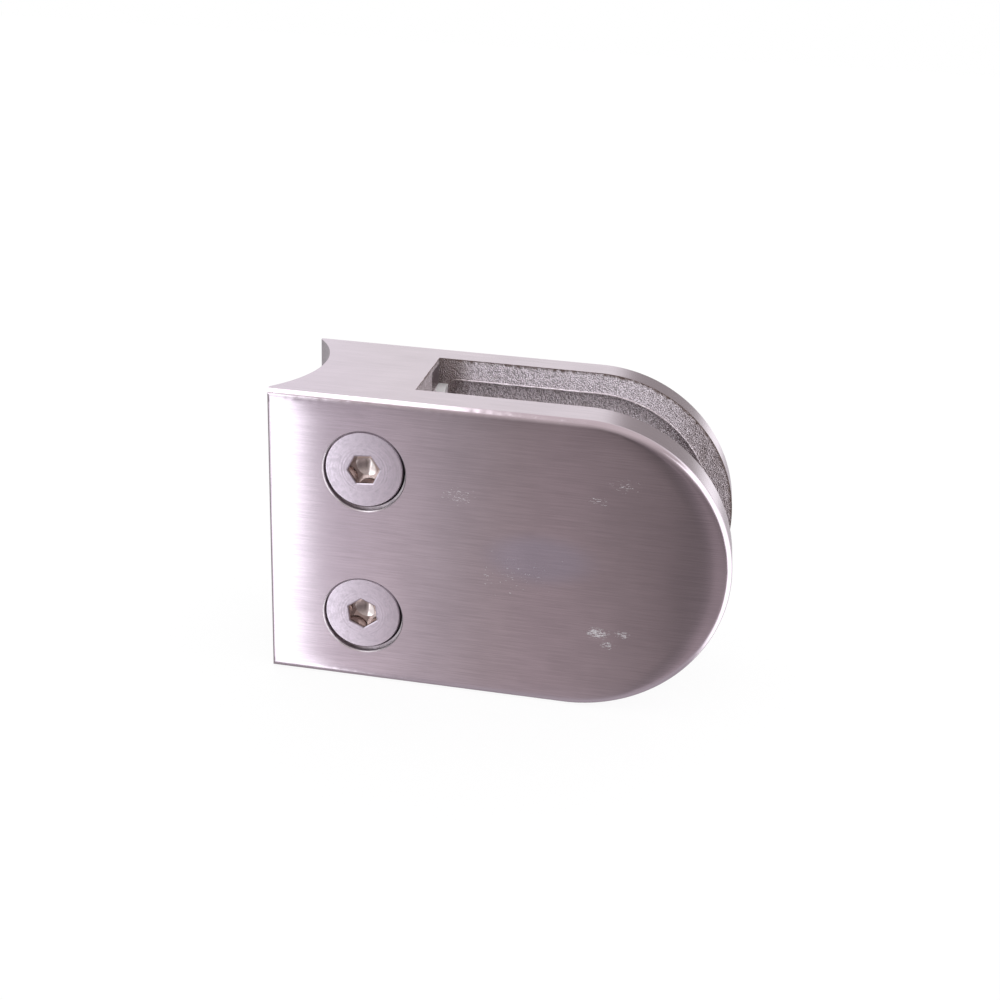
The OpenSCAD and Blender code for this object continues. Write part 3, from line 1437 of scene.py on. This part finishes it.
        # The pad stops' rounded tops take the white finish that paints a highlight.
        on_stop = self.jaw_y - self.stop_w - NEAR < at.y < self.jaw_y - NEAR
        from_end = min(at.z, line.height - at.z) - self.stop_inset
        if on_stop and abs(from_end) < self.stop_r and at.x > self.slot_x:
            return Zone.PAINTED_HIGHLIGHT
        return Zone.CAST

    def build(self, finishes: Sequence[Material]) -> Body:
        """Builds and dresses the casting.

        Args:
            finishes: The materials in the order of the zones.

        Returns:
            The piece.
        """
        line = self.outline
        blank = self.slab(line.back_y, line.part_y)
        steps = [
            ("INTERSECT", self.ear_limit(line.back_y, line.part_y)),
            ("DIFFERENCE", self.slot()),
            *(("UNION", tool) for tool in self.pad_stops()),
        ]
        tools = [self.post(), self.seat(self.jaw_y, Side.BACK), *self.corner_pockets()]
        tools += self.bolt_hole() + self.tapped_holes()
        bm = worked(blank, steps + [("DIFFERENCE", tool) for tool in tools])
        self.dress(bm, self.jaw_y, Side.BACK)
        piece = finished("clamp_casting", bm, finishes, crease=38)
        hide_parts("clamp_body")
        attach(piece, "clamp_body")
        return piece


@dataclass
class FrontJaw(Jaw):
    """The cover plate that screws onto the block and makes the front jaw."""

    recess_r: float = 6.05
    recess_bevel: float = 0.15
    ground_w: float = 1.0
    head_sink: float = 0.6
    head_lip: float = 0.5
    cone_r: float = 5.8
    hole_r: float = 3.2
    play_x: float = 0.2
    play_z: float = -0.08

    def screw_hole(self, z: float) -> Body:
        """The tool for one stepped screw hole.

        Args:
            z: Height of the hole.

        Returns:
            The tool.
        """
        line, over = self.outline, self.sizes.over
        thickness = line.part_y - line.front_y
        shoulder = -self.head_sink - self.head_lip
        mouth = self.recess_r + self.recess_bevel
        profile = [
            (0, over), (mouth, over), (mouth, 0), (self.recess_r, -self.recess_bevel),
            (self.recess_r, shoulder), (self.cone_r, shoulder),
            (self.hole_r, shoulder - (self.cone_r - self.hole_r)),
            (self.hole_r, -thickness - over), (0, -thickness - over),
        ]
        place = into_clamp(line.screw_x + self.play_x, line.front_y, z + self.play_z)
        return solid("screw_hole", moved(turned(profile), place))

    def zone_of(self, face: Face) -> Zone:
        """Tells which finish a face of the cover gets.

        Args:
            face: The face.

        Returns:
            Its zone.
        """
        line, sizes = self.outline, self.sizes
        at, out = face.calc_center_median(), face.normal
        on_face = at.y < line.front_y + sizes.face_fall and line.inset(at) > sizes.edge_r
        if out.y < -FACING and on_face:
            return Zone.FACE
        if self.on_post(face):
            return Zone.SADDLE
        if self.is_outer(face):
            return Zone.RIM
        if line.from_screw(at) < self.recess_r + self.ground_w or at.x < self.slot_x:
            return Zone.MILLED
        return Zone.CAST

    def build(self, finishes: Sequence[Material]) -> Body:
        """Builds and dresses the cover.

        Args:
            finishes: The materials in the order of the zones.

        Returns:
            The piece.
        """
        line = self.outline
        blank = self.slab(line.front_y, line.part_y)
        limit = self.ear_limit(line.front_y, line.part_y)
        tools = [self.post(), self.seat(line.part_y, Side.FRONT)]
        tools += [self.screw_hole(z) for z in line.screw_z]
        bm = worked(blank, [("INTERSECT", limit), *(("DIFFERENCE", tool) for tool in tools)])
        self.split_inner_side(bm)
        self.dress(bm, line.part_y, Side.FRONT)
        piece = finished("front_jaw", bm, finishes, crease=38)
        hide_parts("cover_plate")
        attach(piece, "cover")
        return piece

    def split_inner_side(self, bm: BMesh) -> None:
        """Parts the ground area that sits on the block from the cast one over the slot.

        Args:
            bm: The cover's mesh.
        """
        inner = [
            face for face in bm.faces
            if face.normal.y > FLAT and face.calc_center_median().y > self.outline.part_y - NEAR
        ]
        bmesh.ops.bisect_plane(
            bm, geom=parts_of(inner), dist=GRID_CUT, plane_co=(self.slot_x, 0, 0),
            plane_no=(1, 0, 0),
        )


# ---------------------------------------------------------------------------- screws


@dataclass
class SocketScrew:
    """A countersunk M6 screw with a hexagon socket, in millimetres."""

    node: str
    turn: float
    thread_r: float = 2.98
    root_r: float = 2.45
    pitch: float = 1.0
    head_lip: float = 0.5
    head_bevel: float = 0.15
    head_flat_r: float = 2.7
    head_crown: float = 0.02
    socket_af: float = 4.0
    socket_depth: float = 2.6
    socket_bevel: float = 0.25
    drill_inset: float = 0.2
    drill_angle: float = 59.0
    point_bevel: float = 0.8
    point_h: float = 1.6
    over: float = 1.0
    neck: float = 0.6
    centre: Vector = field(init=False)
    head_r: float = field(init=False)
    length: float = field(init=False)
    top_y: float = field(init=False)

    def __post_init__(self) -> None:
        """Takes the screw's place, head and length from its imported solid."""
        low, high = (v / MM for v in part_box(self.node))
        self.centre = (low + high) / 2
        self.head_r = (high.x - low.x) / 2
        self.length = high.y - low.y
        self.top_y = low.y

    @property
    def cone_end(self) -> float:
        """Where the head's cone ends."""
        return -self.head_lip - (self.head_r - self.thread_r)

    @property
    def corner_r(self) -> float:
        """Radius over the socket's corners."""
        return self.socket_af / 2 / math.cos(math.radians(30))

    def head(self) -> Body:
        """The head with its cone and a short plain neck."""
        cone_end = self.cone_end
        flat, edge = self.head_flat_r, self.head_r - self.head_bevel
        crown = [
            (flat + (edge - flat) * step / 4, -self.head_crown * (step / 4) ** 2)
            for step in range(1, 5)
        ]
        return solid("head", turned([
            (0, 0), (flat, 0), *crown, (self.head_r, -self.head_crown - self.head_bevel),
            (self.head_r, -self.head_lip), (self.thread_r, cone_end),
            (self.thread_r, cone_end - self.neck), (self.root_r, cone_end - 1.5 * self.neck),
            (0, cone_end - 1.5 * self.neck),
        ], steps=144))

    def shank(self) -> Body:
        """The threaded shank with its bevelled end."""
        start = self.cone_end
        rod = solid("rod", thread(self.thread_r, self.root_r, self.pitch, start, -self.length))
        wide = self.thread_r + self.over
        limit = turned([
            (0, start), (wide, start), (wide, -self.length + self.point_h),
            (self.thread_r - self.point_bevel, -self.length), (0, -self.length),
        ])
        return solid("shank", worked(rod, [("INTERSECT", solid("limit", limit))]))

    def socket(self) -> Body:
        """The tool for the hexagon socket and its drilled bottom."""
        bm = bmesh.new()
        bmesh.ops.create_cone(
            bm, cap_ends=True, segments=6, radius1=self.corner_r, radius2=self.corner_r,
            depth=2 * self.socket_depth, matrix=Matrix.Rotation(math.radians(30), 4, "Z"),
        )
        drill_r = self.socket_af / 2 - self.drill_inset
        point = drill_r / math.tan(math.radians(self.drill_angle))
        drill = turned([
            (0, 0), (drill_r, 0), (drill_r, -self.socket_depth), (0, -self.socket_depth - point),
        ], steps=48)
        return solid("socket", worked(solid("hexagon", bm), [("UNION", solid("drill", drill))]))

    def soften_socket_mouth(self, bm: BMesh) -> None:
        """Bevels the mouth of the socket.

        Args:
            bm: The screw's mesh, its head's top at height 0.
        """
        mouth = [
            edge for edge in edges_at(bm, z=0)
            if all(v.co.xy.length < self.corner_r + NEAR for v in edge.verts)
            and edge.calc_face_angle(0.0) > SHARP
        ]
        rounded(bm, mouth, self.socket_bevel, segments=2)
        bm.normal_update()

    def zone_of(self, face: Face) -> ScrewZone:
        """Tells which finish a face gets, while the head's top is still at height 0.

        Args:
            face: The face.

        Returns:
            Its zone.
        """
        at = face.calc_center_median()
        inside = at.xy.length < self.corner_r + NEAR
        if inside and -self.socket_depth - 1.5 < at.z < -self.socket_bevel / 2:
            return ScrewZone.SOCKET
        return ScrewZone.HEAD if at.z > -self.head_lip + NEAR else ScrewZone.SHANK

    def build(self, finishes: Sequence[Material]) -> Body:
        """Builds and dresses the screw.

        Args:
            finishes: The materials in the order of the zones.

        Returns:
            The piece.
        """
        steps = [("UNION", self.shank()), ("DIFFERENCE", self.socket())]
        bm = worked(self.head(), steps)
        self.soften_socket_mouth(bm)
        for face in bm.faces:
            face.material_index = self.zone_of(face).value
        moved(bm, into_clamp(self.centre.x, self.top_y, self.centre.z, self.turn))
        piece = finished(f"{self.node}_threaded", bm, finishes, crease=15)
        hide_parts(self.node)
        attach(piece, self.node)
        return piece


# ---------------------------------------------------------------------------- studio


@dataclass(frozen=True)
class Glow:
    """A soft-edged patch of the studio that the steel mirrors.

    Each limit is a direction and the range of its dot product over which the patch
    fades in, so that a patch lies between soft straight edges.
    """

    name: str
    colour: Colour
    limits: tuple[Limit, ...]


def left_of(degrees: float) -> Point:
    """A limit's direction that grows to the left of an azimuth, seen from the front."""
    turn = math.radians(degrees)
    return (-math.cos(turn), math.sin(turn), 0.0)


def right_of(degrees: float) -> Point:
    """A limit's direction that grows to the right of an azimuth, seen from the front."""
    turn = math.radians(degrees)
    return (math.cos(turn), math.sin(turn), 0.0)


def towards(azimuth: float, elevation: float) -> Point:
    """The direction at an azimuth to the right of the front and an elevation."""
    turn, rise = math.radians(azimuth), math.radians(elevation)
    return (math.sin(turn) * math.cos(rise), -math.cos(turn) * math.cos(rise), math.sin(rise))


UP, DOWN, BACKWARD = (0, 0, 1), (0, 0, -1), (0, 1, 0)
BEHIND = (BACKWARD, 0.3, 0.6)
LEFT_WALL = ((left_of(17.5), 0.0, 0.01), (UP, -0.78, -0.64), (UP, 0.6, 0.4))
LEFT_END = (left_of(55), 0.05, -0.05)
RIGHT_WALL = (
    (right_of(8), 0.3, 0.7), (DOWN, -0.66, -0.5), (BACKWARD, -0.72, -0.52), (UP, -0.85, -0.7),
)


@dataclass(frozen=True)
class Studio:
    """Plain pale floor, white surroundings and the soft boxes that the steel mirrors."""

    front_ramp: tuple[tuple[float, Colour], ...] = (
        (-0.08, (0.30, 0.26, 0.27)),
        (-0.045, (0.20, 0.175, 0.18)),
        (-0.02, (0.16, 0.14, 0.14)),
        (0.00, (0.215, 0.185, 0.185)),
        (0.03, (0.27, 0.235, 0.235)),
        (0.09, (0.34, 0.295, 0.30)),
        (0.13, (0.37, 0.33, 0.33)),
        (0.17, (0.43, 0.40, 0.41)),
        (0.21, (0.57, 0.53, 0.55)),
        (0.25, (0.62, 0.58, 0.62)),
        (0.30, (0.66, 0.64, 0.68)),
    )
    low_gain: Pair = (0.82, 1.32)
    back_colour: Colour = (0.95, 0.94, 0.95)
    glows: tuple[Glow, ...] = (
        Glow("back_left", (1.0, 0.98, 1.03), (BEHIND, ((-1, 0, 0), 0.2, 0.32))),
        Glow("back_floor", (0.58, 0.55, 0.57), (BEHIND, (DOWN, 0.14, 0.25))),
        Glow("back_low", (1.35, 1.33, 1.37), (BEHIND, (DOWN, 0.0, 0.12), (UP, -0.25, -0.14))),
        Glow("back_flag", (0.36, 0.335, 0.335), (
            (towards(158, 10), 0.915, 0.965), (UP, -0.08, 0.03),
        )),
        Glow("front_high", (0.56, 0.51, 0.51), (((0, -1, 0), -0.3, 0.0), (UP, -0.1, 0.5))),
        Glow("overhead", (0.75, 0.69, 0.69), ((UP, 0.55, 0.85),)),
        Glow("ground", (0.48, 0.45, 0.48), ((DOWN, 0.5, 0.75),)),
        Glow("left_dark", (0.30, 0.28, 0.29), (
            (left_of(58), 0.0, 0.1), (BACKWARD, 0.35, 0.1), (UP, 0.7, 0.5),
        )),
        Glow("left_wall", (1.28, 1.3, 1.35), (*LEFT_WALL, LEFT_END)),
        Glow("left_box", (2.2, 2.25, 2.35), (*LEFT_WALL, (left_of(21), 0.05, 0.0))),
        Glow("left_top", (2.8, 2.85, 3.0), (
            (left_of(22), 0.0, 0.02), LEFT_END, (UP, 0.2, 0.4), (DOWN, -0.68, -0.55),
        )),
        Glow("roof_box", (2.9, 2.9, 3.0), (((-1, 0, 0), 0.13, 0.21), (UP, 0.72, 0.86))),
        Glow("right_wall", (1.25, 1.24, 1.28), (*RIGHT_WALL, (right_of(140), 0.1, -0.1))),
        Glow("right_box", (1.9, 1.88, 1.95), (*RIGHT_WALL, (BACKWARD, 0.6, 0.35))),
    )
    fill: Colour = (0.9, 0.9, 0.9)
    floor_size: float = 3.0
    floor_paint: float = 0.15
    floor_lift: float = 0.88

    def world(self) -> None:
        """Builds the surroundings: white to the camera, the studio to the steel."""
        world = bpy.data.worlds.new("studio")
        bpy.context.scene.world = world
        world.use_nodes = True
        tree = Tree(world.node_tree)
        sight = tree.add("ShaderNodeTexCoord").outputs["Generated"]
        parts = tree.add("ShaderNodeSeparateXYZ", {0: sight})
        start, end = self.front_ramp[0][0], self.front_ramp[-1][0]
        turn = tree.math("MULTIPLY", parts.outputs[0], -1.0)
        spot = tree.add("ShaderNodeMapRange", {0: turn, 1: start, 2: end})
        ramp = tree.add("ShaderNodeValToRGB", {0: spot.outputs[0]})
        stops = ramp.color_ramp.elements
        for level, _ in self.front_ramp[1:-1]:
            stops.new((level - start) / (end - start))
        for stop, (_, colour) in zip(stops, self.front_ramp):
            stop.color = (*colour, 1.0)
        gain = tree.step(parts.outputs[2], -0.25, -0.55, *self.low_gain)
        front = tree.vector("SCALE", ramp.outputs[0])
        tree.feed(front, "Scale", gain)
        behind = tree.step(parts.outputs[1], -0.1, 0.35)
        seen = tree.blend(behind, front.outputs[0], self.back_colour)
        for glow in self.glows:
            share = None
            for direction, low, high in glow.limits:
                dot = tree.vector("DOT_PRODUCT", sight, direction).outputs["Value"]
                edge = tree.step(dot, low, high)
                share = edge if share is None else tree.math("MULTIPLY", share, edge)
            seen = tree.blend(share, seen, glow.colour)
            seen.node.label = glow.name
        rays = tree.add("ShaderNodeLightPath").outputs
        mirrored = tree.math("MAXIMUM", rays["Is Glossy Ray"], rays["Is Transmission Ray"])
        shown = tree.blend(mirrored, self.fill, seen)
        shown = tree.blend(rays["Is Camera Ray"], shown, (1.0, 1.0, 1.0))
        tree.feed(world.node_tree.nodes["Background"], "Color", shown)

    def floor(self) -> None:
        """Builds the pale floor, which shows white and keeps a soft shadow."""
        bm = bmesh.new()
        bmesh.ops.create_grid(bm, x_segments=1, y_segments=1, size=self.floor_size / 2)
        made = placed("floor", bm)
        material = bpy.data.materials.new("pale_floor")
        material.use_nodes = True
        tree = Tree(material.node_tree)
        shader = material.node_tree.nodes["Principled BSDF"]
        rays = tree.add("ShaderNodeLightPath").outputs
        seen = tree.math("MAXIMUM", rays["Is Camera Ray"], rays["Is Glossy Ray"])
        paint = self.floor_paint
        for label, value in (
            ("Base Color", (paint, paint, paint, 1.0)), ("Roughness", 1.0),
            ("Specular IOR Level", 0.0), ("Emission Color", (1.0, 1.0, 1.0, 1.0)),
            ("Emission Strength", tree.math("MULTIPLY", seen, self.floor_lift)),
        ):
            tree.feed(shader, label, value)
        under = tree.add("ShaderNodeNewGeometry").outputs["Backfacing"]
        clear = tree.add("ShaderNodeBsdfTransparent").outputs[0]
        mix = tree.add("ShaderNodeMixShader", {0: under, 1: shader.outputs[0], 2: clear})
        tree.feed(material.node_tree.nodes["Material Output"], "Surface", mix.outputs[0])
        made.data.materials.append(material)
        made.visible_glossy = False

    def build(self) -> None:
        """Builds the surroundings and the floor."""
        self.world()
        self.floor()


@dataclass(frozen=True)
class ViewCamera:
    """The camera, given by where it looks on the front face, in millimetres and degrees."""

    target_x: float = 0.29
    target_z: float = 32.04
    distance: float = 180.39
    azimuth: float = 8.2246
    elevation: float = 22.988
    roll: float = 3.047
    lens: float = 45.935
    sensor: float = 36.0
    nearest: float = 0.005

    def build(self, front_y: float) -> None:
        """Places the camera.

        Args:
            front_y: Where the front face lies.
        """
        data = bpy.data.cameras.new("camera")
        data.lens = self.lens
        data.sensor_width = self.sensor
        data.clip_start = self.nearest
        made = placed("camera", data)
        back = Vector(towards(self.azimuth, self.elevation))
        target = Vector((self.target_x, front_y, self.target_z)) * MM
        look = (-back).to_track_quat("-Z", "Y").to_matrix().to_4x4()
        tilt = Matrix.Rotation(math.radians(self.roll), 4, "Z")
        place = Matrix.Translation(target + back * self.distance * MM)
        made.matrix_world = place @ look @ tilt
        bpy.context.scene.camera = made


# ------------------------------------------------------------------------------ main


def jaw_finishes(effects: Effects, outline: Outline, front: bool) -> list[Material]:
    """The finishes of a jaw, in the order of its zones.

    Args:
        effects: The shared shader effects.
        outline: The clamp's stations.
        front: True for the cover, whose face carries the marks of handling.

    Returns:
        The materials.
    """
    label = "front" if front else "back"
    scuffs = (
        Scuff(15.6, 12.7, 1.7, 0.61, 1.0),
        Scuff(17.4, 10.9, 1.3, 0.66, 0.9),
        Scuff(19.2, 12.9, 1.2, 0.64, 0.9),
        Scuff(-5.6, 31.8, 3.0, 0.73, 0.5),
        Scuff(17.6, 36.2, 3.2, 0.77, 0.8),
        Scuff(14.2, 33.4, 1.8, 0.73, 0.8),
        Scuff(2.5, 20.5, 12.0, 0.84, 1.0),
        # This patch, its rarity below zero, is a soft bluish tint over the whole patch, not
        # scuffs.
        Scuff(6.5, 23.4, 6.5, -1.0, 0.2, (0.50, 0.54, 0.78)),
    )
    finishes = [
        BrushedSteel(
            f"brushed_face_{label}", (0.66, 0.575, 0.63), 0.115, 0.97,
            stretch=38.0, contrast=0.10, scuffs=scuffs if front else (),
            scuff_y=outline.front_y,
        ),
        BrushedSteel(
            f"linished_edge_{label}", (0.67, 0.59, 0.64), 0.16, 0.85, stretch=60.0,
            depth=0.02, contrast=0.07,
        ),
        CastSteel(f"as_cast_{label}", (0.80, 0.735, 0.77)),
        # Ground steel; its darker colour is painted shade on the saddle.
        PlainSteel(f"ground_saddle_painted_shade_{label}", (0.44, 0.41, 0.43), 0.42, 1500.0, 0.3),
        PlainSteel(f"milled_{label}", (0.52, 0.48, 0.50), 0.34),
        # White and not metallic: a painted highlight on the pad stops.
        PlainSteel(f"painted_highlight_stop_{label}", (1.0, 0.96, 0.98), 0.3, metallic=0.0),
        # A lighter copy of the cast finish: a painted highlight along the seat's lip.
        CastSteel(f"seat_lip_{label}", (0.93, 0.88, 0.91), 0.36, relief=0.0002, contrast=0.07),
    ]
    return [finish.material(effects) for finish in finishes]


def screw_finishes(effects: Effects, screw: SocketScrew, label: str) -> list[Material]:
    """The finishes of a screw, in the order of its zones.

    Args:
        effects: The shared shader effects.
        screw: The screw.
        label: Which screw it is.

    Returns:
        The materials.
    """
    finishes = [
        TurnedSteel(f"turned_head_{label}", (0.63, 0.56, 0.625), 0.19, tuple(screw.centre)),
        PlainSteel(f"rolled_shank_{label}", (0.58, 0.55, 0.57), 0.3),
        PlainSteel(f"pressed_socket_{label}", (0.64, 0.565, 0.545), 0.16),
    ]
    return [finish.material(effects) for finish in finishes]


def build_clamp() -> None:
    """Builds the studio, the camera and the clamp's pieces in order."""
    logging.basicConfig(level=logging.INFO, format="%(name)s: %(message)s")
    outline = Outline.measured()
    effects = Effects.built()
    # The jaws' sizes and the painted shade on their cast skin.
    sizes, painted_shade = JawSizes(), PaintedShade()
    bpy.context.scene.view_settings.view_transform = "Standard"
    Studio().build()
    ViewCamera().build(outline.front_y)
    pieces = [
        ClampCasting(outline, sizes, painted_shade).build(jaw_finishes(effects, outline, front=False)),
        FrontJaw(outline, sizes, painted_shade).build(jaw_finishes(effects, outline, front=True)),
    ]
    for node, turn in (("upper_screw", 5.0), ("lower_screw", 37.0)):
        screw = SocketScrew(node, turn)
        pieces.append(screw.build(screw_finishes(effects, screw, node.split("_")[0])))
    for piece in pieces:
        log.info("%s: %d faces", piece.name, len(piece.data.polygons))


if __name__ == "__main__":
    build_clamp()
